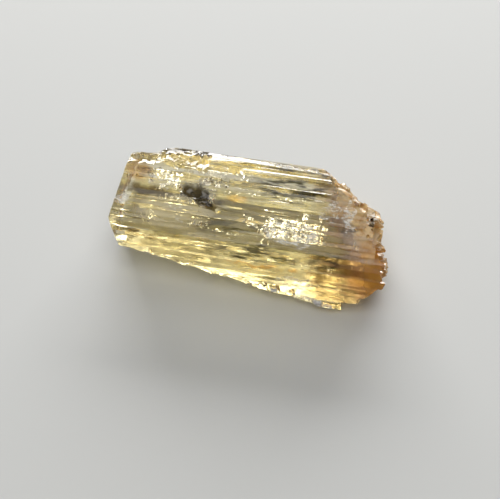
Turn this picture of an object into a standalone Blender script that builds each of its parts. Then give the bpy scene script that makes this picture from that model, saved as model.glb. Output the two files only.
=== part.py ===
"""A rough topaz crystal, golden, broken at both ends, lying on its side.

The long axis runs along +X, the crystal rests on the plane z = 0, and the front face looks
towards -Y. The stone is one solid: a striated prism, cut by the flat cleavage at its left end,
by the fractures at its right end and by the long break under its front face. All sizes here are
in millimetres. The finished meshes are brought to metres in the last step.
"""

import math
import random

import bmesh
import bpy
from mathutils import Matrix, Vector, noise

METRES_PER_MM = 0.001

# Driving dimensions of the prism
AXIS_HEIGHT = 3.9
LEFT_REACH = 12.0
RIGHT_REACH = 12.9
SPARE_LENGTH = 3.0
STATIONS = 33

# The prism's long faces, in order round the section, seen from its right end: the direction of
# the outward normal in degrees from +Y towards +Z, the distance from the axis, the widening
# for each unit of length, and the number of flat strips that the striation makes on it.
FACES = (
    ("top", 102.2, 2.11, 0.006, 15),
    ("upper_bevel", 83.5, 3.41, 0.004, 2),
    ("vicinal_bevel", 74.0, 3.96, 0.004, 2),
    ("rear_bevel", 62.0, 4.62, -0.008, 2),
    ("shoulder", 38.0, 5.76, -0.004, 4),
    ("rear", -3.3, 6.17, 0.0, 8),
    ("rear_under", -22.0, 5.92, 0.0, 4),
    ("resting", 270.0, 3.90, 0.0, 1),
    ("front_under", 214.0, 6.70, 0.010, 1),
    ("front", 157.9, 3.98, 0.010, 12),
)

# Striation: how far a ridge stands out of its face, how its height wanders along the axis, how
# far a strip's border strays from its even place, and how deep a groove is beside a ridge
RIDGE_HEIGHT = 0.12
RIDGE_KNOTS = 6
RIDGE_LEAST = 0.1
BORDER_STRAY = 0.3
GROOVE_SHARE = 0.35
RANDOM_SEED = 41

# Flat cuts through the stone: a point on the cut, and its outward normal
LEFT_CLEAVAGE = ((-10.95, 0.0, 4.0), (-0.997, 0.074, 0.0))
LEFT_CORNER = ((-11.15, -3.0, 5.4), (-0.890, -0.370, -0.264))
FLAT_CUTS = (LEFT_CLEAVAGE, LEFT_CORNER)
CUT_TOLERANCE = 1e-5

# Broken surfaces, rough to the given height of their lumps
LEFT_CREST = ("left_crest", (-7.0, 5.46, 6.29), (-0.290, 0.727, 0.622), 0.22)
RIGHT_END = ("right_end", (12.9, -0.3, 3.0), (0.972, 0.205, 0.115), 0.55)
RIGHT_FRACTURE = ("right_fracture", (10.5, 1.80, 6.40), (0.520, 0.620, 0.588), 0.45)
RIGHT_CORNER = ("right_corner", (12.9, -4.4, 2.3), (0.800, -0.350, -0.487), 0.30)
RIGHT_REAR = ("right_rear", (11.4, 5.4, 2.6), (0.700, 0.640, -0.320), 0.40)
FRONT_BREAK = ("front_break", (0.0, -4.9, 1.75), (-0.152, -0.673, -0.724), 0.18)
ROUGH_CUTS = (
    RIGHT_END,
    RIGHT_FRACTURE,
    RIGHT_CORNER,
    RIGHT_REAR,
    FRONT_BREAK,
    LEFT_CREST,
)
ROUGH_HALF_SIZE = 15.0
ROUGH_SPACING = 0.85
ROUGH_BLOCK = 9.0

# The lumps of a broken surface: width of the largest, and layers of ever smaller ones
ROUGH_LUMP = 2.6
LUMP_LAYERS = 3
LUMP_SHRINK = 2.0
LUMP_FALLOFF = 1.0

# Bites out of the edge of the front break: place along the axis, length and depth
EDGE_BITES = (
    (-9.0, 2.0, 0.16),
    (-5.9, 2.4, 0.30),
    (-2.9, 2.8, 0.40),
    (0.4, 2.6, 0.42),
    (3.1, 1.6, 0.34),
    (5.2, 1.9, 0.42),
    (7.2, 1.3, 0.30),
)

# Pits and conchoidal chips: centre, radii and turn about Z
PITS = (
    ("crest_pit", (-4.45, 0.5, 6.42), (1.55, 1.15, 0.85), -14.0),
    ("crest_pit_tail", (-3.1, -0.65, 6.25), (1.1, 0.55, 0.50), -20.0),
    ("small_pit", (-1.65, 2.15, 6.68), (0.42, 0.38, 0.38), 0.0),
    ("left_crest_chip", (-9.1, 4.9, 6.35), (1.3, 0.8, 0.55), 8.0),
    ("crest_chip", (-6.0, 5.5, 6.50), (1.1, 0.55, 0.45), 0.0),
    ("right_crest_chip", (6.9, 5.2, 6.65), (0.9, 0.7, 0.45), -25.0),
    ("fracture_scoop", (9.4, 4.3, 5.6), (1.6, 1.5, 1.0), -35.0),
    ("end_scoop", (12.9, 1.7, 2.2), (0.9, 1.6, 1.4), 10.0),
)

# Right-angled ledges where the ends broke in steps: low and high corners of what is missing
LEDGES = (
    ("top_ledge", (11.3, -0.9, 5.75), (14.5, 2.6, 8.0)),
    ("middle_ledge", (12.1, -2.3, 4.65), (14.5, 0.9, 8.0)),
    ("low_ledge", (12.5, -3.6, 3.55), (14.5, -1.1, 8.0)),
    ("rear_ledge", (11.9, 1.1, 3.9), (14.5, 4.2, 8.0)),
    ("left_ledge", (-14.0, 0.4, -1.0), (-10.75, 3.4, 2.4)),
    ("left_low_ledge", (-14.0, 2.2, -1.0), (-10.55, 7.0, 1.5)),
)
LEDGE_TILT = math.radians(4.0)

# The undercut past the end of the thin front lip: its start, its rise and its outward normal
LIP_END = 10.15
UNDERCUT_RISE = 0.95
UNDERCUT_NORMAL = (0.060, -0.681, -0.730)
UNDERCUT_BLOCK = (8.0, 8.0, 4.0)

# How finely a scoop is rounded, and how an edge bite is shaped and turned
SCOOP_DETAIL = 2
BITE_RADIUS = 1.1
BITE_SPREAD = 0.35
BITE_OUTWARD = (0.0, -0.90, -0.44)

TOPAZ_GOLD = (0.86, 0.66, 0.30, 1.0)
TOPAZ_ROUGHNESS = 0.12
TOPAZ_IOR = 1.62


def clear_scene():
    for old in list(bpy.data.objects):
        bpy.data.objects.remove(old, do_unlink=True)


def new_collection(name):
    made = bpy.data.collections.new(name)
    bpy.context.scene.collection.children.link(made)
    return made


def topaz_material():
    made = bpy.data.materials.new("golden_topaz")
    made.use_nodes = True
    shader = made.node_tree.nodes["Principled BSDF"]
    shader.inputs["Base Color"].default_value = TOPAZ_GOLD
    shader.inputs["Roughness"].default_value = TOPAZ_ROUGHNESS
    shader.inputs["Metallic"].default_value = 0.0
    shader.inputs["IOR"].default_value = TOPAZ_IOR
    shader.inputs["Transmission Weight"].default_value = 1.0
    return made


# The section of the prism at one place along the axis
def face_line(face, x):
    """Normal and distance from the axis of one long face at x."""
    _, degrees, reach, widening, _ = face
    angle = math.radians(degrees)
    return math.cos(angle), math.sin(angle), reach + widening * x


def meeting_point(first, second, x):
    """Where two neighbouring faces meet, as (y, z)."""
    cos_a, sin_a, reach_a = face_line(first, x)
    cos_b, sin_b, reach_b = face_line(second, x)
    turn = cos_a * sin_b - sin_a * cos_b
    y = (reach_a * sin_b - reach_b * sin_a) / turn
    z = (reach_b * cos_a - reach_a * cos_b) / turn
    return y, z + AXIS_HEIGHT


def strips_of(face, draw):
    """The inner borders of a face's strips: share of its width, and heights along the axis."""
    count = face[4]
    borders = []
    for number in range(1, count):
        share = (number + draw.uniform(-BORDER_STRAY, BORDER_STRAY)) / count
        outward = 1.0 if number % 2 else -GROOVE_SHARE
        knots = [outward * draw.uniform(RIDGE_LEAST, 1.0) for _ in range(RIDGE_KNOTS)]
        borders.append((share, knots))
    return borders


def ridge_height(knots, along):
    """Height of a strip's border, where along goes from 0 at the left end to 1 at the right."""
    place = along * (len(knots) - 1)
    before = min(int(place), len(knots) - 2)
    share = place - before
    return RIDGE_HEIGHT * (knots[before] * (1.0 - share) + knots[before + 1] * share)


def section(x, along, strips):
    """All points round the section at x."""
    points = []
    for number, face in enumerate(FACES):
        before = meeting_point(FACES[number - 1], face, x)
        after = meeting_point(face, FACES[(number + 1) % len(FACES)], x)
        cos_a, sin_a, _ = face_line(face, x)
        points.append(Vector((x, before[0], before[1])))
        for share, knots in strips[number]:
            out = ridge_height(knots, along)
            y = before[0] + (after[0] - before[0]) * share + cos_a * out
            z = before[1] + (after[1] - before[1]) * share + sin_a * out
            points.append(Vector((x, y, z)))
    return points


def striated_prism():
    """The whole prism, longer than the stone, as a loft of its sections."""
    draw = random.Random(RANDOM_SEED)
    strips = [strips_of(face, draw) for face in FACES]
    left = -LEFT_REACH - SPARE_LENGTH
    right = RIGHT_REACH + SPARE_LENGTH
    bm = bmesh.new()
    rings = []
    for station in range(STATIONS):
        along = station / (STATIONS - 1)
        x = left + (right - left) * along
        rings.append([bm.verts.new(point) for point in section(x, along, strips)])
    around = len(rings[0])
    for near, far in zip(rings, rings[1:]):
        for k in range(around):
            following = (k + 1) % around
            bm.faces.new((near[k], near[following], far[following], far[k]))
    bm.faces.new(rings[0])
    bm.faces.new(rings[-1])
    bmesh.ops.recalc_face_normals(bm, faces=bm.faces[:])
    return bm


def cut_flat(bm, cut):
    """Takes off what lies outside one plane, and closes the stone there."""
    point, normal = cut
    geometry = bm.verts[:] + bm.edges[:] + bm.faces[:]
    made = bmesh.ops.bisect_plane(
        bm,
        geom=geometry,
        dist=CUT_TOLERANCE,
        plane_co=Vector(point),
        plane_no=Vector(normal),
        clear_outer=True,
    )
    rim = [item for item in made["geom_cut"] if isinstance(item, bmesh.types.BMEdge)]
    bmesh.ops.contextual_create(bm, geom=rim)


def mesh_object(name, bm, home):
    """An object of flat triangles, which a Boolean cuts without a gap."""
    bmesh.ops.triangulate(bm, faces=bm.faces[:])
    mesh = bpy.data.meshes.new(name)
    bm.to_mesh(mesh)
    bm.free()
    made = bpy.data.objects.new(name, mesh)
    home.objects.link(made)
    return made


def as_cutter(cutter):
    cutter.hide_render = True
    cutter.display_type = "WIRE"
    return cutter


def scoop(name, centre, radii, turn, home):
    """A lens of stone to take out, for a pit or a conchoidal chip."""
    bm = bmesh.new()
    place = (
        Matrix.Translation(Vector(centre))
        @ Matrix.Rotation(math.radians(turn), 4, "Z")
        @ Matrix.Diagonal((*radii, 1.0))
    )
    bmesh.ops.create_icosphere(bm, subdivisions=SCOOP_DETAIL, radius=1.0, matrix=place)
    return as_cutter(mesh_object(name, bm, home))


def ledge(name, low, high, home):
    """A block to take out, which leaves a right-angled ledge."""
    low, high = Vector(low), Vector(high)
    bm = bmesh.new()
    place = (
        Matrix.Translation((low + high) / 2.0)
        @ Matrix.Rotation(LEDGE_TILT, 4, "Z")
        @ Matrix.Rotation(LEDGE_TILT, 4, "Y")
        @ Matrix.Diagonal((*(high - low), 1.0))
    )
    bmesh.ops.create_cube(bm, size=1.0, matrix=place)
    return as_cutter(mesh_object(name, bm, home))


def rough_cut(name, point, normal, lump_height, home):
    """A block whose inner side is a lumpy broken surface, for all that lies outside it."""
    bm = bmesh.new()
    segments = round(2.0 * ROUGH_HALF_SIZE / ROUGH_SPACING)
    bmesh.ops.create_grid(bm, x_segments=segments, y_segments=segments, size=ROUGH_HALF_SIZE)
    origin = Vector(point)
    for vertex in bm.verts:
        place = (vertex.co + origin) / ROUGH_LUMP
        lump = noise.fractal(
            place,
            LUMP_FALLOFF,
            LUMP_SHRINK,
            LUMP_LAYERS,
            noise_basis="PERLIN_ORIGINAL",
        )
        vertex.co.z = lump * lump_height
    grown = bmesh.ops.extrude_face_region(bm, geom=bm.faces[:])["geom"]
    for item in grown:
        if isinstance(item, bmesh.types.BMVert):
            item.co.z = ROUGH_BLOCK
    bmesh.ops.recalc_face_normals(bm, faces=bm.faces[:])
    turn = Vector((0.0, 0.0, 1.0)).rotation_difference(Vector(normal)).to_matrix().to_4x4()
    bm.transform(Matrix.Translation(origin) @ turn)
    return as_cutter(mesh_object(name, bm, home))


def on_break(x):
    """The point at x where the front face meets the break under it."""
    point, normal = Vector(FRONT_BREAK[1]), Vector(FRONT_BREAK[2])
    cos_a, sin_a, reach = face_line(FACES[-1], x)
    out = normal.dot(point) - normal.x * x - normal.z * AXIS_HEIGHT
    turn = cos_a * normal.z - sin_a * normal.y
    y = (reach * normal.z - out * sin_a) / turn
    z = (out * cos_a - reach * normal.y) / turn
    return Vector((x, y, z + AXIS_HEIGHT))


def edge_bite(number, bite, home):
    """A bite out of the edge where the front face meets the break."""
    place, length, depth = bite
    centre = on_break(place) + Vector(BITE_OUTWARD) * (BITE_RADIUS - depth)
    radii = (length / 2.0 + BITE_SPREAD, BITE_RADIUS, BITE_RADIUS)
    return scoop(f"edge_bite_{number}", centre, radii, 0.0, home)


def lip_undercut(home):
    """A block that lifts the front break past the end of the thin lip."""
    normal = Vector(UNDERCUT_NORMAL)
    side = normal.cross(Vector((1.0, 0.0, 0.0))).normalized()
    forward = side.cross(normal).normalized()
    size = Vector(UNDERCUT_BLOCK)
    centre = on_break(LIP_END) + forward * size.x / 2.0 + normal * (size.z / 2.0 - UNDERCUT_RISE)
    turn = Matrix((forward, side, normal)).transposed().to_4x4()
    bm = bmesh.new()
    place = Matrix.Translation(centre) @ turn @ Matrix.Diagonal((*size, 1.0))
    bmesh.ops.create_cube(bm, size=1.0, matrix=place)
    bmesh.ops.recalc_face_normals(bm, faces=bm.faces[:])
    return as_cutter(mesh_object("lip_undercut", bm, home))


def cut_with(stone, cutter, solver="EXACT"):
    cut = stone.modifiers.new(cutter.name, "BOOLEAN")
    cut.operation = "DIFFERENCE"
    cut.solver = solver
    cut.object = cutter


def finish_on_floor(stone, cutters):
    """Bakes the cuts, centres the footprint on the origin at z = 0, and goes to metres."""
    graph = bpy.context.evaluated_depsgraph_get()
    baked = bpy.data.meshes.new_from_object(stone.evaluated_get(graph))
    stone.modifiers.clear()
    stone.data = baked
    corners = [vertex.co for vertex in baked.vertices]
    middle_x = (min(c.x for c in corners) + max(c.x for c in corners)) / 2.0
    middle_y = (min(c.y for c in corners) + max(c.y for c in corners)) / 2.0
    lowest = min(c.z for c in corners)
    to_origin = Matrix.Translation((-middle_x, -middle_y, -lowest))
    to_metres = Matrix.Scale(METRES_PER_MM, 4)
    for made in [stone, *cutters.objects]:
        made.data.transform(to_metres @ to_origin)


def build():
    clear_scene()
    stones = new_collection("topaz")
    cutters = new_collection("cutters")
    cutters.hide_render = True

    bm = striated_prism()
    for cut in FLAT_CUTS:
        cut_flat(bm, cut)
    stone = mesh_object("topaz_crystal", bm, stones)

    for name, point, normal, lump_height in ROUGH_CUTS:
        # The exact solver loses the stone on one of these large lumpy surfaces
        cut_with(stone, rough_cut(name, point, normal, lump_height, cutters), "MANIFOLD")
    for name, centre, radii, turn in PITS:
        cut_with(stone, scoop(name, centre, radii, turn, cutters))
    for name, low, high in LEDGES:
        cut_with(stone, ledge(name, low, high, cutters))
    for number, bite in enumerate(EDGE_BITES, start=1):
        cut_with(stone, edge_bite(number, bite, cutters))
    cut_with(stone, lip_undercut(cutters))

    finish_on_floor(stone, cutters)
    stone.data.materials.clear()
    stone.data.materials.append(topaz_material())


build()
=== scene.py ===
import math
import random

import bmesh
import bpy
import numpy as np
from mathutils import Matrix, Vector, noise


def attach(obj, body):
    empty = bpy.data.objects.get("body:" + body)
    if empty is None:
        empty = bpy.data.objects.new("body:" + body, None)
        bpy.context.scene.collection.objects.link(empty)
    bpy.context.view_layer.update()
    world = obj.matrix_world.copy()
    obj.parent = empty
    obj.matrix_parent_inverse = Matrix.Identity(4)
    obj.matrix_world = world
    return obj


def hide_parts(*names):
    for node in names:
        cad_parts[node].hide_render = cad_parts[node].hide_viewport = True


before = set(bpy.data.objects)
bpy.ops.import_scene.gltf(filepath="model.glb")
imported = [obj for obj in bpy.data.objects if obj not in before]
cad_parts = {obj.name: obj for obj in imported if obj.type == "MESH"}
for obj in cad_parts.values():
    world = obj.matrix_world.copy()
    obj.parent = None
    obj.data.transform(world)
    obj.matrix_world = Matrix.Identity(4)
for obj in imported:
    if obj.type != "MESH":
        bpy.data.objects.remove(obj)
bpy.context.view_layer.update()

# The stone
# One prism of clear golden topaz that grew in one piece. Its long faces are striated, its left
# end is a clean cleavage with a chipped crest, and its right end broke in scoops and small steps.
# The striated prism is lofted, then cut by its flat cleavages and by the lumpy broken surfaces.

# Sizes are in millimetres until the mesh is finished, and the prism's axis lies along X
METRES_PER_MM = 0.001
AXIS_HEIGHT = 3.9
LEFT_REACH = 15.0
RIGHT_REACH = 15.9
STATIONS = 176
SAMPLE_WIDTH = 0.095

# Each long face, in order round the section: direction of its outward normal in degrees from
# +Y towards +Z, distance from the axis, widening for each unit of length, and broad strips
FACES = (
    ("top", 102.2, 2.11, 0.006, 15),
    ("upper_bevel", 83.5, 3.41, 0.004, 2),
    ("vicinal_bevel", 74.0, 3.96, 0.004, 2),
    ("rear_bevel", 62.0, 4.62, -0.008, 2),
    ("shoulder", 38.0, 5.76, -0.004, 4),
    ("rear", -3.3, 6.17, 0.0, 8),
    ("rear_under", -22.0, 5.92, 0.0, 4),
    ("resting", 270.0, 3.90, 0.0, 1),
    ("front_under", 214.0, 6.70, 0.010, 1),
    ("front", 157.9, 3.98, 0.010, 12),
)
BROAD_RIDGE = 0.12
BROAD_KNOTS = 6
RIDGE_LEAST = 0.1
BORDER_STRAY = 0.3
GROOVE_SHARE = 0.35
BROAD_SEED = 41

# The finer striae that lie on the broad strips: width, height and knots along the axis. The
# resting face, which the clear stone shows from within, is the most deeply furrowed.
FINE_STRIAE = ((0.46, 0.030, 10), (0.21, 0.014, 18))
UNDER_STRIAE = ((1.15, 0.20, 11), (0.48, 0.11, 18), (0.21, 0.035, 30))
FINE_SEED = 7

# Long steps on the top faces, whose steep backs flash white in the low light: place across the
# stone, start and end along it, width of the steep back, and height
TOP_STEPS = (
    (5.25, -1.4, 5.4, 0.20, 0.020),
    (4.30, -3.0, 8.2, 0.26, 0.018),
    (3.85, 0.4, 8.6, 0.16, 0.018),
    (3.40, -0.7, 8.3, 0.28, 0.175),
    (2.75, -6.4, -0.4, 0.17, 0.080),
    (2.15, 1.2, 8.2, 0.15, 0.070),
    (1.50, -2.9, 3.4, 0.19, 0.100),
    (1.30, 4.2, 8.1, 0.19, 0.090),
    (0.75, -0.6, 6.0, 0.14, 0.060),
)
STEP_FRONT = 0.55
STEP_FADE = 0.7
LEAST_UPWARD = 0.9


def face_line(face, x):
    """Normal and distance from the axis of one long face at x."""
    _, degrees, reach, widening, _ = face
    angle = math.radians(degrees)
    return math.cos(angle), math.sin(angle), reach + widening * x


def meeting_point(first, second, x):
    """Where two neighbouring faces meet, as y and z."""
    cos_a, sin_a, reach_a = face_line(first, x)
    cos_b, sin_b, reach_b = face_line(second, x)
    turn = cos_a * sin_b - sin_a * cos_b
    y = (reach_a * sin_b - reach_b * sin_a) / turn
    z = (reach_b * cos_a - reach_a * cos_b) / turn
    return np.array((y, z + AXIS_HEIGHT))


def broad_ridges(face, draw):
    """Borders of a face's broad strips: shares of its width, and heights along the axis."""
    count = face[4]
    shares = [0.0]
    heights = [[0.0] * BROAD_KNOTS]
    for number in range(1, count):
        shares.append((number + draw.uniform(-BORDER_STRAY, BORDER_STRAY)) / count)
        outward = 1.0 if number % 2 else -GROOVE_SHARE
        knots = [outward * draw.uniform(RIDGE_LEAST, 1.0) for _ in range(BROAD_KNOTS)]
        heights.append([BROAD_RIDGE * knot for knot in knots])
    shares.append(1.0)
    heights.append([0.0] * BROAD_KNOTS)
    return np.array(shares), np.array(heights)


def fine_ridges(width, spacing, height, knots, draw):
    """The same for finer striae, which fade in and out along the face."""
    count = max(2, round(width / spacing))
    shares = np.sort(draw.random(count - 1))
    shares = np.concatenate(([0.0], shares, [1.0]))
    heights = draw.uniform(-1.0, 1.0, (count + 1, knots)) * height
    heights *= draw.random((count + 1, knots)) ** 0.5
    heights[0] = 0.0
    heights[-1] = 0.0
    return shares, heights


def height_over(shares, heights, along, places):
    """Heights at places over the width, where along goes from 0 to 1 along the axis."""
    spot = along * (heights.shape[1] - 1)
    before = min(int(spot), heights.shape[1] - 2)
    part = spot - before
    at_station = heights[:, before] * (1.0 - part) + heights[:, before + 1] * part
    return np.interp(places, shares, at_station)


def step_rise(x, places):
    """Height that the long steps add at x, for places across the stone."""
    rise = np.zeros(len(places))
    for place, start, end, width, height in TOP_STEPS:
        share = min((x - start) / STEP_FADE, (end - x) / STEP_FADE, 1.0)
        if share > 0.0:
            profile = (place - STEP_FRONT, place, place + width)
            rise += height * share * np.interp(places, profile, (0.0, 1.0, 0.0))
    return rise


def striated_prism():
    """The whole prism, longer than the stone, as a loft of its sections."""
    broad_draw = random.Random(BROAD_SEED)
    fine_draw = np.random.default_rng(FINE_SEED)
    layers = []
    for number, face in enumerate(FACES):
        before = meeting_point(FACES[number - 1], face, 0.0)
        after = meeting_point(face, FACES[(number + 1) % len(FACES)], 0.0)
        width = float(np.linalg.norm(after - before))
        samples = max(2, round(width / SAMPLE_WIDTH))
        places = np.arange(samples) / samples
        ridges = [broad_ridges(face, broad_draw)]
        for spacing, height, knots in UNDER_STRIAE if face[0] == "resting" else FINE_STRIAE:
            ridges.append(fine_ridges(width, spacing, height, knots, fine_draw))
        layers.append((places, ridges))
    rings = []
    for station in range(STATIONS):
        along = station / (STATIONS - 1)
        x = -LEFT_REACH + (LEFT_REACH + RIGHT_REACH) * along
        ring = []
        for number, face in enumerate(FACES):
            before = meeting_point(FACES[number - 1], face, x)
            after = meeting_point(face, FACES[(number + 1) % len(FACES)], x)
            cos_a, sin_a, _ = face_line(face, x)
            places, ridges = layers[number]
            out = sum(height_over(shares, heights, along, places) for shares, heights in ridges)
            across = before[None, :] + (after - before)[None, :] * places[:, None]
            across += out[:, None] * np.array((cos_a, sin_a))[None, :]
            if sin_a > LEAST_UPWARD:
                across[:, 1] += step_rise(x, across[:, 0])
            ring.append(np.column_stack((np.full(len(places), x), across)))
        rings.append(np.concatenate(ring))
    around = len(rings[0])
    faces = []
    for station in range(STATIONS - 1):
        near = station * around
        far = near + around
        for k in range(around):
            following = (k + 1) % around
            faces.append((near + k, near + following, far + following, far + k))
    faces.append(tuple(range(around)))
    faces.append(tuple((STATIONS - 1) * around + k for k in range(around)))
    mesh = bpy.data.meshes.new("striated_prism")
    mesh.from_pydata(np.concatenate(rings).tolist(), [], faces)
    bm = bmesh.new()
    bm.from_mesh(mesh)
    bpy.data.meshes.remove(mesh)
    bmesh.ops.recalc_face_normals(bm, faces=bm.faces[:])
    return bm


# The flat cleavages: a point on the cut, and its outward normal
FLAT_CUTS = (
    ((-10.95, 0.0, 4.0), (-0.997, 0.074, 0.0)),
    ((-11.15, -3.0, 5.4), (-0.890, -0.370, -0.264)),
)
CUT_TOLERANCE = 1e-5


def cut_flat(bm, point, normal):
    """Takes off what lies outside one plane, and closes the stone there."""
    geometry = bm.verts[:] + bm.edges[:] + bm.faces[:]
    made = bmesh.ops.bisect_plane(
        bm,
        geom=geometry,
        dist=CUT_TOLERANCE,
        plane_co=Vector(point),
        plane_no=Vector(normal),
        clear_outer=True,
    )
    rim = [item for item in made["geom_cut"] if isinstance(item, bmesh.types.BMEdge)]
    bmesh.ops.contextual_create(bm, geom=rim)


def working_mesh(name, bm):
    """An object of flat triangles, which a Boolean cuts without a gap."""
    bmesh.ops.triangulate(bm, faces=bm.faces[:])
    mesh = bpy.data.meshes.new(name)
    bm.to_mesh(mesh)
    bm.free()
    made = bpy.data.objects.new(name, mesh)
    bpy.context.scene.collection.objects.link(made)
    return made


bm = striated_prism()
for point, normal in FLAT_CUTS:
    cut_flat(bm, point, normal)
stone = working_mesh("topaz_stone", bm)

# The break under the front face, which leaves the thin lip: a point on it, and its normal
BREAK_POINT = Vector((0.0, -4.9, 1.75))
BREAK_NORMAL = Vector((-0.152, -0.673, -0.724))

# The broken surfaces: point, outward normal, height of the lumps, half sizes of the patch, depth
# of the scoops that meet in sharp ridges on it, and height of its small square steps
ROUGH_CUTS = (
    ((12.9, -0.3, 3.0), (0.972, 0.205, 0.115), 0.55, (7.0, 7.0), 0.30, 0.34),
    ((10.5, 1.80, 6.40), (0.520, 0.620, 0.588), 0.45, (8.0, 8.0), 0.34, 0.26),
    ((12.9, -4.4, 2.3), (0.800, -0.350, -0.487), 0.30, (6.0, 6.0), 0.26, 0.16),
    ((11.4, 5.4, 2.6), (0.700, 0.640, -0.320), 0.40, (6.0, 6.0), 0.30, 0.20),
    (BREAK_POINT, BREAK_NORMAL, 0.18, (16.0, 6.0), 0.16, 0.0),
    ((-7.0, 5.46, 6.29), (-0.290, 0.727, 0.622), 0.22, (6.0, 6.0), 0.16, 0.10),
    ((-7.8, 4.2, 6.56), (-0.03, 0.09, 0.995), 0.16, (4.4, 2.6), 0.22, 0.06),
)
ROUGH_SPACING = 0.15
ROUGH_BLOCK = 9.0
STEP_SIZE = Vector((0.75, 0.95, 0.62))
ROUGH_LUMP = 2.6
LUMP_LAYERS = 5
LUMP_SHRINK = 2.0
LUMP_FALLOFF = 1.0
SCOOP_WIDTH = 1.5
SMALL_SCOOP_WIDTH = 0.62
SMALL_SCOOP_SHARE = 0.35
MIDDLE_HEIGHT = 0.5


def rough_height(place, lump_height, scoop_depth):
    """Height of a broken surface: soft lumps, and scoops that meet in sharp ridges."""
    lump = noise.fractal(
        place / ROUGH_LUMP,
        LUMP_FALLOFF,
        LUMP_SHRINK,
        LUMP_LAYERS,
        noise_basis="PERLIN_ORIGINAL",
    )
    wide = noise.voronoi(place / SCOOP_WIDTH)[0][0]
    small = noise.voronoi(place / SMALL_SCOOP_WIDTH)[0][0]
    scoops = wide * wide + SMALL_SCOOP_SHARE * small * small
    return lump * lump_height + (scoops - MIDDLE_HEIGHT) * scoop_depth


def step_height(place):
    """Random height of the small block of stone that a place lies in."""
    return noise.cell(Vector(c / size for c, size in zip(place, STEP_SIZE))) - MIDDLE_HEIGHT


def rough_cutter(point, normal, lump_height, half_sizes, scoop_depth, steps):
    """A block whose inner side is a broken surface, for all that lies outside it."""
    bm = bmesh.new()
    half_x, half_y = half_sizes
    turn = Vector((0.0, 0.0, 1.0)).rotation_difference(Vector(normal)).to_matrix()
    bmesh.ops.create_grid(
        bm,
        x_segments=round(2.0 * half_x / ROUGH_SPACING),
        y_segments=round(2.0 * half_y / ROUGH_SPACING),
        size=1.0,
    )
    origin = Vector(point)
    for vertex in bm.verts:
        flat = Vector((vertex.co.x * half_x, vertex.co.y * half_y, 0.0))
        vertex.co = flat
        vertex.co.z = rough_height(flat + origin, lump_height, scoop_depth)
        vertex.co.z += steps * step_height(turn @ flat + origin)
    grown = bmesh.ops.extrude_face_region(bm, geom=bm.faces[:])["geom"]
    for item in grown:
        if isinstance(item, bmesh.types.BMVert):
            item.co.z = ROUGH_BLOCK
    bmesh.ops.recalc_face_normals(bm, faces=bm.faces[:])
    bm.transform(Matrix.Translation(origin) @ turn.to_4x4())
    return working_mesh("rough_cutter", bm)


# Pits, bubbles and conchoidal chips: centre, radii and turn about Z
PITS = (
    ((-4.35, 0.75, 6.15), (1.00, 0.75, 0.95), -14.0),
    ((-2.9, -0.35, 6.05), (1.15, 0.50, 0.60), -20.0),
    ((-1.65, 2.15, 6.68), (0.42, 0.38, 0.38), 0.0),
    ((-9.1, 4.9, 6.35), (1.3, 0.8, 0.55), 8.0),
    ((-6.0, 5.5, 6.50), (1.1, 0.55, 0.45), 0.0),
    ((6.9, 5.2, 6.65), (0.9, 0.7, 0.45), -25.0),
    ((9.4, 4.3, 5.6), (1.6, 1.5, 1.0), -35.0),
    ((12.9, 1.7, 2.2), (0.9, 1.6, 1.4), 10.0),
)
PIT_DETAIL = 4
PIT_LUMP = 0.55
PIT_ROUGHNESS = 0.26


def scoop_cutter(centre, radii, turn):
    """A lumpy lens of stone to take out."""
    bm = bmesh.new()
    bmesh.ops.create_icosphere(bm, subdivisions=PIT_DETAIL, radius=1.0)
    origin = Vector(centre)
    for vertex in bm.verts:
        place = (vertex.co + origin) / PIT_LUMP
        vertex.co *= 1.0 + PIT_ROUGHNESS * noise.noise(place)
    place = (
        Matrix.Translation(origin)
        @ Matrix.Rotation(math.radians(turn), 4, "Z")
        @ Matrix.Diagonal((*radii, 1.0))
    )
    bm.transform(place)
    return working_mesh("scoop_cutter", bm)


# Right-angled ledges where the ends broke in steps: low and high corners of what is missing
LEDGES = (
    ((11.3, -0.9, 5.75), (14.5, 2.6, 8.0)),
    ((12.1, -2.3, 4.65), (14.5, 0.9, 8.0)),
    ((12.5, -3.6, 3.55), (14.5, -1.1, 8.0)),
    ((11.9, 1.1, 3.9), (14.5, 4.2, 8.0)),
    ((-14.0, 0.4, -1.0), (-10.75, 3.4, 2.4)),
    ((-14.0, 2.2, -1.0), (-10.55, 7.0, 1.5)),
)
LEDGE_TILT = math.radians(4.0)


def ledge_cutter(low, high):
    """A block to take out, which leaves a right-angled ledge."""
    low, high = Vector(low), Vector(high)
    bm = bmesh.new()
    place = (
        Matrix.Translation((low + high) / 2.0)
        @ Matrix.Rotation(LEDGE_TILT, 4, "Z")
        @ Matrix.Rotation(LEDGE_TILT, 4, "Y")
        @ Matrix.Diagonal((*(high - low), 1.0))
    )
    bmesh.ops.create_cube(bm, size=1.0, matrix=place)
    return working_mesh("ledge_cutter", bm)


# Bites out of the edge of the front break: place along the axis, length and depth
EDGE_BITES = (
    (-9.0, 2.0, 0.16),
    (-5.9, 2.4, 0.30),
    (-2.9, 2.8, 0.40),
    (0.4, 2.6, 0.42),
    (3.1, 1.6, 0.34),
    (5.2, 1.9, 0.42),
    (7.2, 1.3, 0.30),
)
BITE_RADIUS = 1.1
BITE_SPREAD = 0.35
BITE_OUTWARD = Vector((0.0, -0.90, -0.44))

# The undercut past the end of the thin front lip: its start, its rise and its outward normal
LIP_END = 10.15
UNDERCUT_RISE = 0.95
UNDERCUT_NORMAL = Vector((0.060, -0.681, -0.730))
UNDERCUT_BLOCK = Vector((8.0, 8.0, 4.0))


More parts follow.
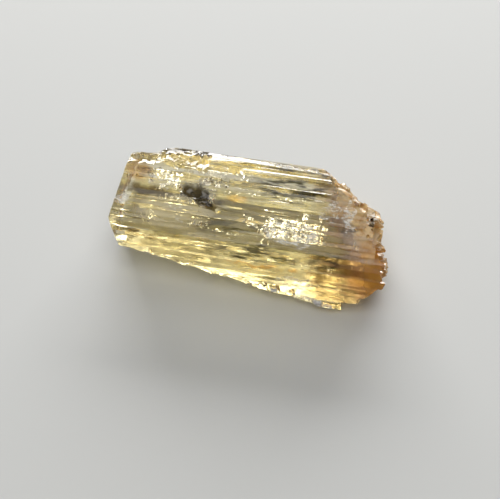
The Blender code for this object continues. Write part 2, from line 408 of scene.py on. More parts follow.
def on_break(x):
    """The point at x where the front face meets the break under it."""
    cos_a, sin_a, reach = face_line(FACES[-1], x)
    out = BREAK_NORMAL.dot(BREAK_POINT) - BREAK_NORMAL.x * x - BREAK_NORMAL.z * AXIS_HEIGHT
    turn = cos_a * BREAK_NORMAL.z - sin_a * BREAK_NORMAL.y
    y = (reach * BREAK_NORMAL.z - out * sin_a) / turn
    z = (out * cos_a - reach * BREAK_NORMAL.y) / turn
    return Vector((x, y, z + AXIS_HEIGHT))


def lip_undercutter():
    """A block that lifts the front break past the end of the thin lip."""
    side = UNDERCUT_NORMAL.cross(Vector((1.0, 0.0, 0.0))).normalized()
    forward = side.cross(UNDERCUT_NORMAL).normalized()
    size = UNDERCUT_BLOCK
    lift = UNDERCUT_NORMAL * (size.z / 2.0 - UNDERCUT_RISE)
    centre = on_break(LIP_END) + forward * size.x / 2.0 + lift
    turn = Matrix((forward, side, UNDERCUT_NORMAL)).transposed().to_4x4()
    bm = bmesh.new()
    place = Matrix.Translation(centre) @ turn @ Matrix.Diagonal((*size, 1.0))
    bmesh.ops.create_cube(bm, size=1.0, matrix=place)
    bmesh.ops.recalc_face_normals(bm, faces=bm.faces[:])
    return working_mesh("lip_undercutter", bm)


# The lines along which the stone is chipped, on its worn crests, in the pit and at its broken ends
BACK_CREST_LEFT = ((-10.6, 3.0, 6.85), (-9.0, 4.2, 6.85), (-6.4, 4.9, 6.62), (-3.6, 5.0, 6.5))
BACK_CREST_RIGHT = ((6.2, 4.9, 6.7), (8.0, 3.4, 6.85), (9.5, 2.2, 6.75), (11.0, 0.9, 6.5))
TOP_LEFT = ((-10.6, 1.5, 6.5), (-7.0, 2.6, 6.66), (-4.6, 2.2, 6.6))
RIGHT_CORNER = ((12.6, -2.6, 5.4), (12.9, -3.4, 4.4), (13.1, -4.3, 3.0))
BACK_EDGE = ((-10.4, 3.9, 6.7), (-8.0, 5.0, 6.4), (-5.0, 5.6, 6.1), (-1.5, 5.7, 6.0))
PIT_FLOOR = ((-5.3, 0.9, 6.1), (-4.2, 0.8, 5.8), (-3.2, 0.1, 5.9), (-2.1, -0.5, 5.9))
LIP_CORNER = ((9.2, -6.3, 0.0), (9.95, -5.85, 0.3), (10.3, -5.6, 1.2))
LIP_LENGTH = [on_break(x) for x in (-9.5, -6.0, -3.0, 0.0, 3.0, 6.0, 9.6)]
RIGHT_STEPS = ((11.4, 0.9, 6.0), (11.9, -0.6, 5.7), (12.3, -2.0, 5.2))
TOP_LEDGE = ((11.5, 2.2, 5.8), (12.4, 1.5, 5.6), (11.6, 0.5, 5.8), (12.5, -0.4, 5.5))
LIP_RIGHT = [on_break(x) for x in (0.6, 3.0, 5.5, 8.0, 9.8)]

# The small sharp chips along each line: spacing, stray, least and greatest half size, and seed
CHIPPED_LINES = (
    (BACK_CREST_LEFT, 0.26, 0.50, 0.14, 0.42, 3),
    (BACK_CREST_RIGHT, 0.34, 0.34, 0.12, 0.38, 5),
    (TOP_LEFT, 0.42, 0.42, 0.10, 0.30, 9),
    (RIGHT_CORNER, 0.36, 0.25, 0.12, 0.36, 11),
    (BACK_EDGE, 0.20, 0.50, 0.20, 0.50, 15),
    (PIT_FLOOR, 0.30, 0.42, 0.30, 0.70, 21),
    (LIP_CORNER, 0.25, 0.18, 0.30, 0.60, 27),
    (LIP_LENGTH, 0.36, 0.24, 0.10, 0.34, 33),
    (RIGHT_STEPS, 0.20, 0.50, 0.14, 0.38, 35),
    (TOP_LEDGE, 0.20, 0.40, 0.20, 0.50, 37),
    (LIP_RIGHT, 0.26, 0.34, 0.24, 0.56, 39),
)


def named_tree(name, inputs):
    """An empty Geometry Nodes tree with the named inputs, and the inputs' identifiers."""
    tree = bpy.data.node_groups.new(name, "GeometryNodeTree")
    face = tree.interface
    face.new_socket("Geometry", in_out="OUTPUT", socket_type="NodeSocketGeometry")
    face.new_socket("Geometry", in_out="INPUT", socket_type="NodeSocketGeometry")
    keys = {}
    for label, kind in inputs:
        made = face.new_socket(label, in_out="INPUT", socket_type=kind)
        keys[label] = made.identifier
    return tree, keys


def grown_mesh(base, tree, keys, values):
    """The plain mesh that a tree makes on a base object, which is then removed."""
    grow = base.modifiers.new(tree.name, "NODES")
    grow.node_group = tree
    for label, value in values.items():
        grow[keys[label]] = value
    graph = bpy.context.evaluated_depsgraph_get()
    mesh = bpy.data.meshes.new_from_object(base.evaluated_get(graph))
    base.modifiers.remove(grow)
    bpy.data.objects.remove(base, do_unlink=True)
    return mesh


chip_tree, chip_keys = named_tree("chips_along_a_line", (
    ("Spacing", "NodeSocketFloat"),
    ("Stray", "NodeSocketFloat"),
    ("Least size", "NodeSocketFloat"),
    ("Greatest size", "NodeSocketFloat"),
    ("Seed", "NodeSocketInt"),
    ("Material", "NodeSocketMaterial"),
))
nodes = chip_tree.nodes
link = chip_tree.links.new
given = nodes.new("NodeGroupInput")
result = nodes.new("NodeGroupOutput")
chip_line = nodes.new("GeometryNodeMeshToCurve")
chip_points = nodes.new("GeometryNodeCurveToPoints")
chip_points.mode = "LENGTH"
stray_draw = nodes.new("FunctionNodeRandomValue")
stray_draw.data_type = "FLOAT_VECTOR"
stray_draw.inputs["Min"].default_value = (-1.0, -1.0, -1.0)
stray_draw.inputs["Max"].default_value = (1.0, 1.0, 1.0)
stray_scale = nodes.new("ShaderNodeVectorMath")
stray_scale.operation = "SCALE"
strayed = nodes.new("GeometryNodeSetPosition")
chip_shape = nodes.new("GeometryNodeMeshIcoSphere")
chip_shape.inputs["Subdivisions"].default_value = 1
chip_size = nodes.new("FunctionNodeRandomValue")
chip_size.data_type = "FLOAT_VECTOR"
chip_turn = nodes.new("FunctionNodeRandomValue")
chip_turn.data_type = "FLOAT_VECTOR"
chip_turn.inputs["Max"].default_value = (math.tau, math.tau, math.tau)
chips = nodes.new("GeometryNodeInstanceOnPoints")
real_chips = nodes.new("GeometryNodeRealizeInstances")
chip_finish = nodes.new("GeometryNodeSetMaterial")
link(given.outputs["Geometry"], chip_line.inputs["Mesh"])
link(chip_line.outputs["Curve"], chip_points.inputs["Curve"])
link(given.outputs["Spacing"], chip_points.inputs["Length"])
link(chip_points.outputs["Points"], strayed.inputs["Geometry"])
link(given.outputs["Seed"], stray_draw.inputs["Seed"])
link(stray_draw.outputs["Value"], stray_scale.inputs["Vector"])
link(given.outputs["Stray"], stray_scale.inputs["Scale"])
link(stray_scale.outputs["Vector"], strayed.inputs["Offset"])
link(given.outputs["Least size"], chip_size.inputs["Min"])
link(given.outputs["Greatest size"], chip_size.inputs["Max"])
link(given.outputs["Seed"], chip_size.inputs["Seed"])
link(given.outputs["Seed"], chip_turn.inputs["Seed"])
link(strayed.outputs["Geometry"], chips.inputs["Points"])
link(chip_shape.outputs["Mesh"], chips.inputs["Instance"])
link(chip_size.outputs["Value"], chips.inputs["Scale"])
link(chip_turn.outputs["Value"], chips.inputs["Rotation"])
link(chips.outputs["Instances"], real_chips.inputs["Geometry"])
link(real_chips.outputs["Geometry"], chip_finish.inputs["Geometry"])
link(given.outputs["Material"], chip_finish.inputs["Material"])
link(chip_finish.outputs["Geometry"], result.inputs["Geometry"])


# The stone's material, which the chipped places share. Its nodes are made further down.
topaz = bpy.data.materials.new("golden_topaz")


def chip_cutter(points, spacing, stray, least, greatest, seed):
    """Sharp little chips to take out along a line."""
    line = bpy.data.meshes.new("chipped_line")
    line.from_pydata(points, [(k, k + 1) for k in range(len(points) - 1)], [])
    base = bpy.data.objects.new("chipped_line", line)
    bpy.context.scene.collection.objects.link(base)
    mesh = grown_mesh(base, chip_tree, chip_keys, {
        "Spacing": spacing,
        "Stray": stray,
        "Least size": least,
        "Greatest size": greatest,
        "Seed": seed,
        "Material": topaz,
    })
    made = bpy.data.objects.new("chip_cutter", mesh)
    bpy.context.scene.collection.objects.link(made)
    return made


cutters = [rough_cutter(*cut) for cut in ROUGH_CUTS]
cutters += [chip_cutter(*chipped) for chipped in CHIPPED_LINES]
cutters += [scoop_cutter(*pit) for pit in PITS]
cutters += [ledge_cutter(*corners) for corners in LEDGES]
for along, length, depth in EDGE_BITES:
    bite_centre = on_break(along) + BITE_OUTWARD * (BITE_RADIUS - depth)
    bite_radii = (length / 2.0 + BITE_SPREAD, BITE_RADIUS, BITE_RADIUS)
    cutters.append(scoop_cutter(bite_centre, bite_radii, 0.0))
cutters.append(lip_undercutter())

for cutter in cutters:
    cut = stone.modifiers.new("cut", "BOOLEAN")
    cut.operation = "DIFFERENCE"
    cut.solver = "MANIFOLD"
    cut.object = cutter
graph = bpy.context.evaluated_depsgraph_get()
cut_mesh = bpy.data.meshes.new_from_object(stone.evaluated_get(graph))
stone.modifiers.clear()
stone.data = cut_mesh
for cutter in cutters:
    bpy.data.objects.remove(cutter, do_unlink=True)

# The finished mesh is in metres and centred on its footprint, as the solid that it replaces is
corners = np.array([vertex.co for vertex in cut_mesh.vertices])
low, high = corners.min(axis=0), corners.max(axis=0)
to_origin = Matrix.Translation((-(low[0] + high[0]) / 2.0, -(low[1] + high[1]) / 2.0, -low[2]))
cut_mesh.transform(Matrix.Scale(METRES_PER_MM, 4) @ to_origin)
SHARP_EDGE = math.radians(24.0)
cut_mesh.shade_smooth()
cut_mesh.set_sharp_from_angle(angle=SHARP_EDGE)


# Clear golden topaz: see-through, stained orange by iron on the broken right end, and frosted
# in patches where fine etching and healed cracks scatter the light
TOPAZ_IOR = 1.62
TOPAZ_ABSORBS = (0.968, 0.862, 0.36, 1.0)
TOPAZ_DENSITY = 110.0


def add_node(tree, kind, values=(), **settings):
    """A shader node with its settings, and the constant values of its inputs by name."""
    made = tree.nodes.new(kind)
    for key, value in settings.items():
        setattr(made, key, value)
    for key, value in dict(values).items():
        made.inputs[key].default_value = value
    return made


def ramp(tree, source, *stops):
    """A colour ramp fed by one output, with its stops as places and grey values or colours."""
    made = tree.nodes.new("ShaderNodeValToRGB")
    elements = made.color_ramp.elements
    while len(elements) < len(stops):
        elements.new(0.5)
    for element, (place, colour) in zip(elements, stops):
        element.position = place
        element.color = colour if isinstance(colour, tuple) else (colour, colour, colour, 1.0)
    tree.links.new(source, made.inputs["Fac"])
    return made.outputs["Color"]


topaz.use_nodes = True
tree = topaz.node_tree
link = tree.links.new
shader = tree.nodes["Principled BSDF"]
shader.inputs["IOR"].default_value = TOPAZ_IOR
shader.inputs["Transmission Weight"].default_value = 1.0
place = add_node(tree, "ShaderNodeTexCoord").outputs["Object"]

absorb = add_node(tree, "ShaderNodeVolumeAbsorption")
absorb.inputs["Color"].default_value = TOPAZ_ABSORBS
absorb.inputs["Density"].default_value = TOPAZ_DENSITY
output = tree.nodes["Material Output"]
link(absorb.outputs["Volume"], output.inputs["Volume"])

# Soft noise that makes the borders of stains, painted shade and frosted patches wander, by metres along
# X, Y, Z
WANDER = Vector((0.0022, 0.0012, 0.0012))
wander_noise = add_node(tree, "ShaderNodeTexNoise", {"Scale": 900.0, "Detail": 5.0})
link(place, wander_noise.inputs["Vector"])
wander = add_node(tree, "ShaderNodeVectorMath", operation="MULTIPLY_ADD")
wander.inputs[1].default_value = WANDER
link(wander_noise.outputs["Color"], wander.inputs[0])
link(place, wander.inputs[2])

# A blot is whole up to the first share of its radii, and ends at the second
BLOT_WHOLE = 0.55
BLOT_END = 1.25


def blot(centre, radii, strength):
    """Share of the surface, from 0 to strength, inside a soft-edged blot; sizes in millimetres."""
    local = add_node(tree, "ShaderNodeMapping", vector_type="TEXTURE")
    local.inputs["Location"].default_value = Vector(centre) * METRES_PER_MM + WANDER / 2.0
    local.inputs["Scale"].default_value = Vector(radii) * METRES_PER_MM
    link(wander.outputs["Vector"], local.inputs["Vector"])
    away = add_node(tree, "ShaderNodeVectorMath", operation="LENGTH")
    link(local.outputs["Vector"], away.inputs[0])
    inside = add_node(tree, "ShaderNodeMapRange", interpolation_type="SMOOTHSTEP")
    inside.inputs["From Min"].default_value = BLOT_END
    inside.inputs["From Max"].default_value = BLOT_WHOLE
    inside.inputs["To Max"].default_value = strength
    link(away.outputs["Value"], inside.inputs["Value"])
    return inside.outputs["Result"]


def combined(operation, first, second):
    """One value from two, each an output or a plain number."""
    made = add_node(tree, "ShaderNodeMath", operation=operation)
    for number, value in enumerate((first, second)):
        if isinstance(value, float):
            made.inputs[number].default_value = value
        else:
            link(value, made.inputs[number])
    return made.outputs["Value"]


def greatest_of(first, *others):
    """The greatest of some values at each place."""
    for other in others:
        first = combined("MAXIMUM", first, other)
    return first


def tinted(colour, share, under):
    """A colour laid over another by a share of the surface."""
    made = add_node(tree, "ShaderNodeMixRGB")
    link(share, made.inputs["Fac"])
    if isinstance(under, tuple):
        made.inputs["Color1"].default_value = under
    else:
        link(under, made.inputs["Color1"])
    made.inputs["Color2"].default_value = colour
    return made.outputs["Color"]


# The gold that deepens low on the stone. It starts and is whole at two heights in metres.
UNDER_GOLD = (0.95, 0.87, 0.46, 1.0)
UNDER_GOLD_START = 0.0014
UNDER_GOLD_WHOLE = 0.0004
WHITE = (1.0, 1.0, 1.0, 1.0)
height = add_node(tree, "ShaderNodeSeparateXYZ")
link(wander.outputs["Vector"], height.inputs["Vector"])
under_gold = add_node(tree, "ShaderNodeMapRange", interpolation_type="SMOOTHSTEP")
under_gold.inputs["From Min"].default_value = UNDER_GOLD_START
under_gold.inputs["From Max"].default_value = UNDER_GOLD_WHOLE
link(height.outputs["Z"], under_gold.inputs["Value"])
stain_and_shade_colour = tinted(UNDER_GOLD, under_gold.outputs["Result"], WHITE)

# Iron stain that fills the broken right end: tan, mottled with rust. It starts and is whole at
# two distances in metres, measured towards the break.
END_TAN = (0.84, 0.61, 0.30, 1.0)
END_RUST = (0.56, 0.27, 0.05, 1.0)
TOWARD_BREAK = (1.0, 0.5, 0.0)
END_STAIN_START = 0.0082
END_STAIN_WHOLE = 0.0104
toward_break = add_node(tree, "ShaderNodeVectorMath", operation="DOT_PRODUCT")
link(wander.outputs["Vector"], toward_break.inputs[0])
toward_break.inputs[1].default_value = TOWARD_BREAK
end_range = add_node(tree, "ShaderNodeMapRange", interpolation_type="SMOOTHSTEP")
end_range.inputs["From Min"].default_value = END_STAIN_START
end_range.inputs["From Max"].default_value = END_STAIN_WHOLE
link(toward_break.outputs["Value"], end_range.inputs["Value"])
end_stain = end_range.outputs["Result"]
stain_and_shade_colour = tinted(END_TAN, end_stain, stain_and_shade_colour)
rust_noise = add_node(tree, "ShaderNodeTexNoise", {"Scale": 1300.0, "Detail": 6.0, "Roughness": 0.72})
link(place, rust_noise.inputs["Vector"])
rust_mottle = ramp(tree, rust_noise.outputs["Fac"], (0.47, 0.0), (0.60, 0.8))
rust_share = combined("MULTIPLY", end_stain, rust_mottle)
stain_and_shade_colour = tinted(END_RUST, rust_share, stain_and_shade_colour)

# Stained patches and painted shade: centre, radii, strength and colour. The first deepens the gold. The
# second, and the olive brown on the back crest, are painted shade that darkens the crest, and the two
# near-black ones are painted shade in the pits. The others are brown and orange iron, on the ends, in a
# small patch and in two thin seams.
STAINS_AND_SHADE = (
    ((-6.8, -1.6, 5.8), (3.6, 1.9, 1.3), 0.85, (1.0, 0.87, 0.48, 1.0)),
    # Painted shade: the crest darkened olive gold
    ((-7.6, 3.8, 6.6), (4.2, 1.2, 0.8), 0.60, (0.60, 0.50, 0.26, 1.0)),
    ((11.0, -3.4, 3.4), (2.8, 2.8, 2.9), 0.9, (0.68, 0.31, 0.035, 1.0)),
    # Painted shade: the two pits drawn near-black brown
    ((-5.4, 0.6, 5.6), (1.7, 1.2, 1.5), 1.0, (0.045, 0.032, 0.014, 1.0)),
    ((-3.9, -0.5, 5.8), (1.5, 0.55, 0.8), 0.95, (0.09, 0.06, 0.025, 1.0)),
    # Painted shade: the back crest darkened olive brown
    ((-7.2, 5.1, 6.2), (5.0, 1.1, 1.0), 0.75, (0.26, 0.20, 0.08, 1.0)),
    ((-1.6, 0.2, 6.2), (1.3, 0.5, 0.5), 0.8, (0.84, 0.52, 0.18, 1.0)),
    ((-9.9, -0.1, 6.0), (2.7, 0.7, 0.8), 0.95, (0.07, 0.045, 0.016, 1.0)),
    ((-10.9, 1.8, 6.5), (1.3, 1.3, 0.9), 0.9, (0.66, 0.36, 0.10, 1.0)),
    ((-0.6, -3.4, 5.2), (6.0, 0.14, 0.22), 0.9, (0.72, 0.38, 0.10, 1.0)),
    ((2.4, -4.7, 3.7), (5.0, 0.14, 0.22), 0.9, (0.72, 0.38, 0.10, 1.0)),
)

# Olive shadows between the striae, in patches of centre, radii and strength
OLIVE = (0.022, 0.020, 0.006, 1.0)
SHADOWS = (
    ((-2.3, -2.45, 5.6), (3.6, 1.0, 1.0), 0.85),
    ((1.3, -4.2, 4.6), (5.0, 0.7, 1.0), 1.0),
    ((7.25, -4.3, 4.95), (1.9, 0.9, 1.0), 1.0),
    ((3.2, 2.0, 6.6), (4.6, 1.3, 0.9), 1.0),
    ((-6.5, 4.5, 6.6), (4.6, 1.2, 0.9), 0.95),
    ((-5.6, 5.4, 6.0), (6.4, 1.2, 1.1), 1.0),
    ((2.2, 4.1, 6.7), (5.6, 1.1, 0.9), 1.0),
    ((8.4, -1.2, 5.9), (1.0, 0.9, 0.8), 0.90),
    ((0.6, 0.8, 6.3), (7.6, 3.4, 1.3), 0.42),
)
STREAK_STRETCH = (0.22, 1.0, 1.0)
streak_place = add_node(tree, "ShaderNodeMapping")
streak_place.inputs["Scale"].default_value = STREAK_STRETCH
link(place, streak_place.inputs["Vector"])
streaks = add_node(tree, "ShaderNodeTexNoise", {"Scale": 2600.0, "Detail": 4.0, "Roughness": 0.6})
link(streak_place.outputs["Vector"], streaks.inputs["Vector"])
streak_share = ramp(tree, streaks.outputs["Fac"], (0.42, 0.1), (0.53, 1.0))
shadow_share = greatest_of(*(blot(*patch) for patch in SHADOWS))
shadow_share = combined("MULTIPLY", shadow_share, streak_share)
stain_and_shade_colour = tinted(OLIVE, shadow_share, stain_and_shade_colour)
for centre, radii, strength, colour in STAINS_AND_SHADE:
    stain_and_shade_colour = tinted(colour, blot(centre, radii, strength), stain_and_shade_colour)

# Frosted patches, where etching and fine cracks scatter the light: centre, radii and strength
FROSTED = (
    ((3.7, -2.3, 5.6), (3.9, 2.0, 1.2), 0.86),
    ((6.9, 0.4, 6.3), (1.5, 1.7, 0.9), 0.84),
    ((4.4, -5.0, 2.6), (2.8, 0.8, 1.0), 0.84),
    ((10.6, 0.6, 5.9), (1.2, 1.8, 0.8), 0.86),
    ((-8.2, 1.0, 6.3), (2.3, 1.3, 0.8), 0.82),
    ((-6.6, -1.1, 5.9), (1.9, 0.6, 0.6), 0.82),
    ((-11.7, -1.2, 5.8), (1.3, 0.7, 0.8), 0.84),
    ((8.4, 0.4, 6.2), (0.9, 3.2, 1.0), 0.9),
    ((-6.0, 4.4, 6.6), (4.4, 1.1, 0.8), 0.80),
    ((11.4, -1.6, 5.2), (1.3, 1.8, 1.6), 0.84),
    ((-6.0, -2.4, 5.6), (0.9, 0.6, 0.5), 0.86),
    ((5.6, -6.1, 0.9), (4.4, 1.2, 1.2), 0.92),
    ((-8.8, -3.9, 3.6), (3.0, 0.5, 0.5), 0.6),
)
FROST_CREAM = (0.97, 0.95, 0.89, 1.0)
GRAIN_STRETCH = (1.0, 2.6, 2.6)
FROST_START = 1.28
FROST_WHOLE = 1.52
frost_share = greatest_of(*(blot(*patch) for patch in FROSTED))
grain_place = add_node(tree, "ShaderNodeMapping")
grain_place.inputs["Scale"].default_value = GRAIN_STRETCH
link(place, grain_place.inputs["Vector"])
grain = add_node(tree, "ShaderNodeTexNoise", {"Scale": 1500.0, "Detail": 6.0, "Roughness": 0.75})
link(grain_place.outputs["Vector"], grain.inputs["Vector"])
frost_grain = add_node(tree, "ShaderNodeMapRange", interpolation_type="SMOOTHSTEP")
frost_grain.inputs["From Min"].default_value = FROST_START
frost_grain.inputs["From Max"].default_value = FROST_WHOLE
link(combined("ADD", frost_share, grain.outputs["Fac"]), frost_grain.inputs["Value"])
frost = frost_grain.outputs["Result"]
link(tinted(FROST_CREAM, frost, stain_and_shade_colour), shader.inputs["Base Color"])

# Clear places are nearly smooth, the rest is faintly etched, and frost is the roughest. The left
# middle is milky. The crest at the back is matt and clouded, and the dark pit is clouded, so that the
# painted shade in their colour shows.
FROST_ROUGHNESS = 0.5
FROST_CLOUD = 0.85
END_CLOUD = 0.5
MILKY_PATCH = ((-6.8, -1.6, 5.8), (3.4, 1.7, 1.2), 0.3)
PIT_SHADE_COVER = ((-5.1, 0.4, 5.6), (1.6, 1.1, 1.3), 0.72)
CREST_MATT_SHADE = ((-7.2, 5.1, 6.2), (5.0, 1.1, 1.0), 0.35)
etch_noise = add_node(tree, "ShaderNodeTexNoise", {"Scale": 300.0, "Detail": 5.0})
link(grain_place.outputs["Vector"], etch_noise.inputs["Vector"])
etch = ramp(tree, etch_noise.outputs["Fac"], (0.44, 0.01), (0.62, 0.04), (0.74, 0.12))
crest_matt_shade = blot(*CREST_MATT_SHADE)
matt = combined("MULTIPLY", frost, FROST_ROUGHNESS)
link(greatest_of(matt, crest_matt_shade, etch), shader.inputs["Roughness"])
frost_cloud = combined("MULTIPLY", frost, FROST_CLOUD)
end_cloud = combined("MULTIPLY", end_stain, END_CLOUD)
# Covers that let the painted shade of the pit and of the back crest show
shade_covers = greatest_of(blot(*PIT_SHADE_COVER), crest_matt_shade)
cloudy = greatest_of(frost_cloud, blot(*MILKY_PATCH), end_cloud, shade_covers)
link(combined("SUBTRACT", 1.0, cloudy), shader.inputs["Transmission Weight"])

# Fine relief: hair-thin striae along the axis, and pebbling, which is deepest on the broken end
HAIR_STRETCH = (0.05, 1.0, 1.0)
END_PEBBLING = 5.0
hair_place = add_node(tree, "ShaderNodeMapping")
hair_place.inputs["Scale"].default_value = HAIR_STRETCH
link(place, hair_place.inputs["Vector"])
hairs = add_node(tree, "ShaderNodeTexNoise", {"Scale": 5200.0, "Detail": 3.0})
link(hair_place.outputs["Vector"], hairs.inputs["Vector"])
hair_relief = add_node(tree, "ShaderNodeBump", {"Strength": 0.5, "Distance": 0.00004})
link(hairs.outputs["Fac"], hair_relief.inputs["Height"])
pebbles = add_node(tree, "ShaderNodeTexNoise", {"Scale": 2400.0, "Detail": 4.0})
link(place, pebbles.inputs["Vector"])
pebble_relief = add_node(tree, "ShaderNodeBump", {"Strength": 0.18, "Distance": 0.00005})
pebble_depth = combined("ADD", 1.0, combined("MULTIPLY", end_stain, END_PEBBLING))
pebble_height = combined("MULTIPLY", pebbles.outputs["Fac"], pebble_depth)
link(pebble_height, pebble_relief.inputs["Height"])
link(hair_relief.outputs["Normal"], pebble_relief.inputs["Normal"])
link(pebble_relief.outputs["Normal"], shader.inputs["Normal"])

cut_mesh.materials.clear()
cut_mesh.materials.append(topaz)
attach(stone, "root")
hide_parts("topaz_crystal")


# The healed cracks
# Films of tiny flat hollows, sealed inside the stone as it grew, which flash white and grey.
# Geometry Nodes scatter them over curved sheets that lie well inside the clear stone.

# Each sheet: centre, half length and half width, its turns about X, Y and Z in degrees, its bend,
# least and greatest half size of a hollow, hollows for each square millimetre, and seed
FILMS = (
    ((-8.4, 2.3, 4.7), (2.3, 1.6), (-26.0, 6.0, -6.0), 0.35, 0.05, 0.20, 17.0, 1),
    ((-6.9, 0.4, 4.5), (1.9, 0.9), (-22.0, -8.0, 0.0), 0.25, 0.05, 0.18, 18.0, 2),
    ((3.2, -0.6, 3.4), (4.3, 2.2), (-24.0, 4.0, -4.0), 0.40, 0.05, 0.20, 22.0, 3),
    ((3.6, -0.2, 4.4), (3.0, 1.4), (-20.0, -3.0, 6.0), 0.30, 0.04, 0.14, 16.0, 12),
    ((8.6, 1.2, 3.9), (2.0, 3.1), (0.0, 78.0, 26.0), 0.50, 0.04, 0.17, 15.0, 4),
    ((-1.2, -2.2, 3.9), (3.6, 0.8), (-34.0, 3.0, -2.0), 0.15, 0.04, 0.15, 14.0, 5),
    ((5.9, -3.2, 3.2), (2.0, 1.1), (-20.0, 12.0, 8.0), 0.25, 0.05, 0.18, 14.0, 6),
    ((0.8, 1.9, 4.7), (5.2, 0.7), (-30.0, 1.0, 2.0), 0.10, 0.03, 0.12, 12.0, 7),
    ((-9.6, -1.2, 3.6), (1.3, 1.3), (-20.0, 30.0, 0.0), 0.30, 0.04, 0.15, 9.0, 8),
    ((-2.6, 3.6, 5.2), (3.0, 0.8), (-20.0, 2.0, 0.0), 0.20, 0.04, 0.16, 12.0, 9),
    ((-7.4, 4.0, 5.5), (3.4, 0.9), (-24.0, 3.0, -4.0), 0.25, 0.04, 0.14, 12.0, 14),
    ((-5.3, -1.7, 4.4), (2.0, 1.0), (-24.0, 4.0, 4.0), 0.25, 0.04, 0.17, 16.0, 16),
    ((-4.2, 1.85, 5.9), (1.5, 0.5), (-24.0, 0.0, -8.0), 0.05, 0.06, 0.24, 18.0, 17),
)

# How the sheets wave, fray at their edges and have holes, and how thin, tilted and far apart the
# hollows are
SHEET_STEPS = 40
SHEET_WAVES = 1.7
SHEET_EDGE = 0.95
SHEET_EDGE_STRAY = 0.6
HOLE_WAVES = 3.1
HOLE_BELOW = -0.32
HOLE_SEED_STEP = 0.5
HOLLOW_THICKNESS = 0.022
HOLLOW_TILT = 0.30
HOLLOW_GAP = 0.09
AIR_IN_TOPAZ = 1.0 / TOPAZ_IOR

film_tree, film_keys = named_tree("hollows_on_a_sheet", (
    ("Density", "NodeSocketFloat"),
    ("Gap", "NodeSocketFloat"),
    ("Least size", "NodeSocketVector"),
    ("Greatest size", "NodeSocketVector"),
    ("Tilt", "NodeSocketVector"),
    ("Seed", "NodeSocketInt"),
    ("Material", "NodeSocketMaterial"),
))
nodes = film_tree.nodes
link = film_tree.links.new
given = nodes.new("NodeGroupInput")
result = nodes.new("NodeGroupOutput")
hollow_points = nodes.new("GeometryNodeDistributePointsOnFaces")
hollow_points.distribute_method = "POISSON"
hollow_shape = nodes.new("GeometryNodeMeshIcoSphere")
hollow_shape.inputs["Subdivisions"].default_value = 2
hollow_size = nodes.new("FunctionNodeRandomValue")
hollow_size.data_type = "FLOAT_VECTOR"
hollow_tilt = nodes.new("FunctionNodeRandomValue")
hollow_tilt.data_type = "FLOAT_VECTOR"
tilt_turn = nodes.new("FunctionNodeEulerToRotation")
hollow_turn = nodes.new("FunctionNodeRotateRotation")
hollow_turn.rotation_space = "LOCAL"
hollows = nodes.new("GeometryNodeInstanceOnPoints")
real_hollows = nodes.new("GeometryNodeRealizeInstances")
hollow_finish = nodes.new("GeometryNodeSetMaterial")
link(given.outputs["Geometry"], hollow_points.inputs["Mesh"])
link(given.outputs["Gap"], hollow_points.inputs["Distance Min"])
link(given.outputs["Density"], hollow_points.inputs["Density Max"])
link(given.outputs["Seed"], hollow_points.inputs["Seed"])
link(given.outputs["Least size"], hollow_size.inputs["Min"])
link(given.outputs["Greatest size"], hollow_size.inputs["Max"])
link(given.outputs["Seed"], hollow_size.inputs["Seed"])
link(given.outputs["Tilt"], hollow_tilt.inputs["Max"])
link(given.outputs["Seed"], hollow_tilt.inputs["Seed"])
link(hollow_tilt.outputs["Value"], tilt_turn.inputs["Euler"])
link(hollow_points.outputs["Rotation"], hollow_turn.inputs["Rotation"])
link(tilt_turn.outputs["Rotation"], hollow_turn.inputs["Rotate By"])
link(hollow_points.outputs["Points"], hollows.inputs["Points"])
link(hollow_shape.outputs["Mesh"], hollows.inputs["Instance"])
link(hollow_turn.outputs["Rotation"], hollows.inputs["Rotation"])
link(hollow_size.outputs["Value"], hollows.inputs["Scale"])
link(hollows.outputs["Instances"], real_hollows.inputs["Geometry"])
link(real_hollows.outputs["Geometry"], hollow_finish.inputs["Geometry"])
link(given.outputs["Material"], hollow_finish.inputs["Material"])
link(hollow_finish.outputs["Geometry"], result.inputs["Geometry"])


def film(centre, half_sizes, turns, bend, least, greatest, density, seed):
    """The hollows of one healed crack, in millimetres."""
    bm = bmesh.new()
    bmesh.ops.create_grid(bm, x_segments=SHEET_STEPS, y_segments=SHEET_STEPS, size=1.0)
    outside = []
    for vertex in bm.verts:
        x, y, _ = vertex.co
        reach = vertex.co.length
        rise = bend * (x * x - y * y)
        wave = noise.noise(Vector((x * SHEET_WAVES, y * SHEET_WAVES, float(seed))))
        hole = noise.noise(Vector((x * HOLE_WAVES, y * HOLE_WAVES, seed + HOLE_SEED_STEP)))
        vertex.co = (x * half_sizes[0], y * half_sizes[1], rise + bend * wave)
        if reach + SHEET_EDGE_STRAY * wave > SHEET_EDGE or hole < HOLE_BELOW:
            outside.append(vertex)
    bmesh.ops.delete(bm, geom=outside, context="VERTS")
    turn = Matrix.Rotation(math.radians(turns[2]), 4, "Z")
    turn @= Matrix.Rotation(math.radians(turns[1]), 4, "Y")
    turn @= Matrix.Rotation(math.radians(turns[0]), 4, "X")
    bm.transform(Matrix.Translation(centre) @ turn)
    return grown_mesh(working_mesh("sheet", bm), film_tree, film_keys, {
        "Density": density,
        "Gap": HOLLOW_GAP,
        "Least size": (least, least, HOLLOW_THICKNESS),
        "Greatest size": (greatest, greatest, HOLLOW_THICKNESS),
        "Tilt": (HOLLOW_TILT, HOLLOW_TILT, math.tau),
        "Seed": seed,
        "Material": hollow_air,
    })


hollow_air = bpy.data.materials.new("air_in_topaz")
hollow_air.use_nodes = True
hollow_shader = hollow_air.node_tree.nodes["Principled BSDF"]
hollow_shader.inputs["IOR"].default_value = AIR_IN_TOPAZ
hollow_shader.inputs["Transmission Weight"].default_value = 1.0
hollow_shader.inputs["Roughness"].default_value = 0.08

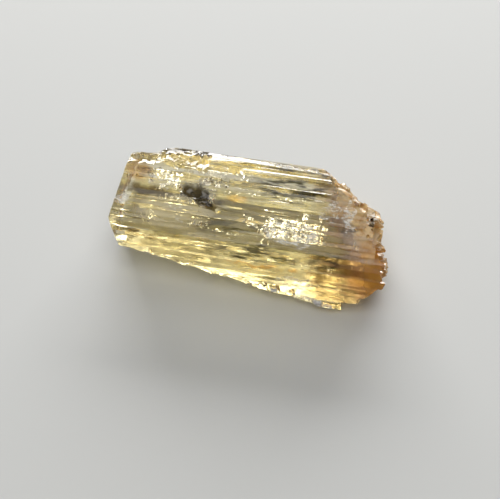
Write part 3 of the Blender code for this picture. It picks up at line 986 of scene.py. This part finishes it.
bm = bmesh.new()
for sheet in FILMS:
    sheet_mesh = film(*sheet)
    bm.from_mesh(sheet_mesh)
    bpy.data.meshes.remove(sheet_mesh)
film_mesh = bpy.data.meshes.new("healed_cracks")
bm.to_mesh(film_mesh)
bm.free()
film_mesh.transform(Matrix.Scale(METRES_PER_MM, 4))
film_mesh.materials.clear()
film_mesh.materials.append(hollow_air)
film_mesh.shade_flat()
films = bpy.data.objects.new("healed_cracks", film_mesh)
bpy.context.scene.collection.objects.link(films)
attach(films, "root")


# The floor
# A plain pale tabletop, matt, on which the stone lies loose. It isn't part of the object, and it
# is a hair lower than the stone, so that their faces don't meet.
FLOOR_SIZE = 3.0
FLOOR_GAP = 0.00002
FLOOR_PALE = (0.60, 0.60, 0.58, 1.0)

bpy.ops.mesh.primitive_plane_add(size=FLOOR_SIZE, location=(0.0, 0.0, -FLOOR_GAP))
floor = bpy.context.object
floor.name = "floor"
floor_finish = bpy.data.materials.new("pale_floor")
floor_finish.use_nodes = True
floor_shader = floor_finish.node_tree.nodes["Principled BSDF"]
floor_shader.inputs["Base Color"].default_value = FLOOR_PALE
floor_shader.inputs["Roughness"].default_value = 0.7
floor.data.materials.append(floor_finish)


# The light
# A large soft light low behind the stone, which its steps and hollows mirror, a weaker one above
# it, a wide soft one from the front, and a dim grey room.

# Each light: azimuth and elevation in degrees, distance, width and height in metres, and power
LIGHTS = (
    ("window", -8.0, 17.0, 0.45, 0.50, 0.18, 3.2),
    ("sky", -12.0, 56.0, 0.50, 0.50, 0.26, 0.36),
    ("front_fill", 170.0, 68.0, 0.60, 0.56, 0.46, 1.35),
)
ROOM_GREY = (0.07, 0.073, 0.075, 1.0)

for name, azimuth, elevation, distance, width, height, power in LIGHTS:
    data = bpy.data.lights.new(name, "AREA")
    data.shape = "RECTANGLE"
    data.size = width
    data.size_y = height
    data.energy = power
    lamp = bpy.data.objects.new(name, data)
    around, up = math.radians(azimuth), math.radians(elevation)
    direction = Vector((math.sin(around) * math.cos(up), math.cos(around) * math.cos(up), math.sin(up)))
    lamp.location = direction * distance
    lamp.rotation_euler = direction.to_track_quat("Z", "Y").to_euler()
    bpy.context.scene.collection.objects.link(lamp)

room = bpy.data.worlds.new("room")
room.use_nodes = True
room.node_tree.nodes["Background"].inputs["Color"].default_value = ROOM_GREY
bpy.context.scene.world = room

# The camera
# It looks down on the stone at the photograph's angle, from a hand's length away. It is set
# slightly aside and up, to put the stone where the photograph has it.
CAMERA_AZIMUTH = math.radians(11.0)
CAMERA_ELEVATION = math.radians(50.0)
CAMERA_DISTANCE = 0.150
CAMERA_LENS = 118.8
CAMERA_SIDEWAYS = -0.00036
CAMERA_UPWARDS = 0.00005

camera_data = bpy.data.cameras.new("camera")
camera_data.lens = CAMERA_LENS
camera_data.clip_start = 0.005
camera = bpy.data.objects.new("camera", camera_data)
back = Vector((
    math.sin(CAMERA_AZIMUTH) * math.cos(CAMERA_ELEVATION),
    -math.cos(CAMERA_AZIMUTH) * math.cos(CAMERA_ELEVATION),
    math.sin(CAMERA_ELEVATION),
))
turn = back.to_track_quat("Z", "Y")
camera.rotation_euler = turn.to_euler()
aside = turn @ Vector((CAMERA_SIDEWAYS, CAMERA_UPWARDS, 0.0))
camera.location = back * CAMERA_DISTANCE + aside
bpy.context.scene.collection.objects.link(camera)
bpy.context.scene.camera = camera

# The clear stone needs long light paths, because light meets many of its faces on the way
EXPOSURE = 0.25
CLEAR_BOUNCES = 24
GLOSSY_BOUNCES = 12
bpy.context.scene.view_settings.view_transform = "Standard"
bpy.context.scene.view_settings.exposure = EXPOSURE
bpy.context.scene.cycles.max_bounces = CLEAR_BOUNCES
bpy.context.scene.cycles.transmission_bounces = CLEAR_BOUNCES
bpy.context.scene.cycles.glossy_bounces = GLOSSY_BOUNCES
